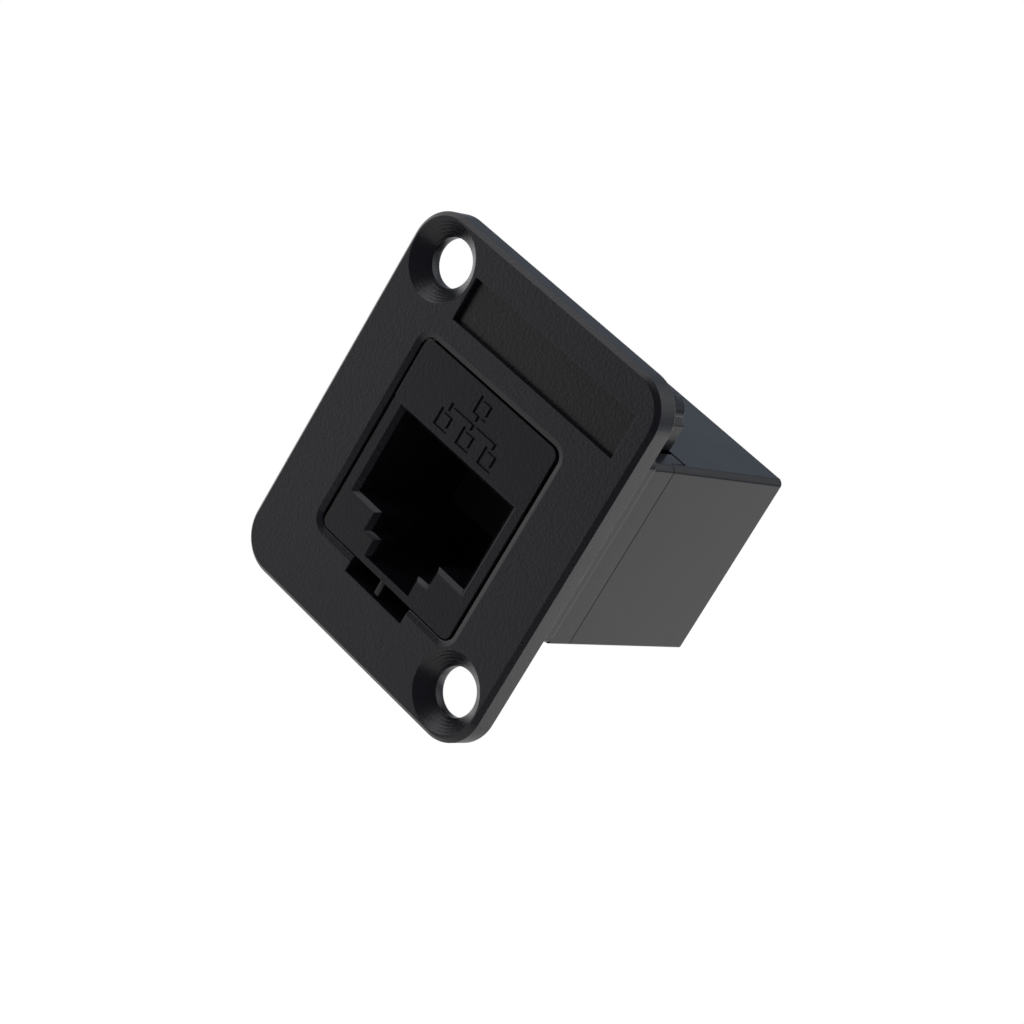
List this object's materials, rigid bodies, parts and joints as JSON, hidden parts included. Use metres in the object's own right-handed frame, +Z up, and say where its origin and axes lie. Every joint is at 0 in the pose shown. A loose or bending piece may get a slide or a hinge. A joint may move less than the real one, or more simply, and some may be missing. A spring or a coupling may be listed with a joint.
{
  "type": "ethernet coupler",
  "caption": "Panel-mount ethernet coupler: rectangular flange with countersunk screw holes, round boss and a snap-in insert with a plug socket at each end.",
  "frame": {"origin": "centre of the flange's rear face, which lies on the panel, on the axis of the round boss", "axes": "+X to the right seen from the front, +Y through the panel towards the rear socket, +Z up towards the marking field"},
  "size_m": [0.026, 0.0296, 0.031],
  "materials": {
    "flange_plastic": "fine matt moulded black",
    "housing_plastic": "satin moulded black",
    "carrier_plastic": "satin moulded black",
    "board": "green solder mask",
    "contact": "gold plated spring wire"
  },
  "bodies": {
    "root": {"front_flange": "flange_plastic", "front_housing": "housing_plastic", "rear_housing": "housing_plastic", "front_carrier": "carrier_plastic", "rear_carrier": "carrier_plastic", "circuit_board": "board", "front_contact_1": "contact", "front_contact_2": "contact", "front_contact_3": "contact", "front_contact_4": "contact", "front_contact_5": "contact", "front_contact_6": "contact", "front_contact_7": "contact", "front_contact_8": "contact", "rear_contact_1": "contact", "rear_contact_2": "contact", "rear_contact_3": "contact", "rear_contact_4": "contact", "rear_contact_5": "contact", "rear_contact_6": "contact", "rear_contact_7": "contact", "rear_contact_8": "contact"}
  },
  "joints": []
}
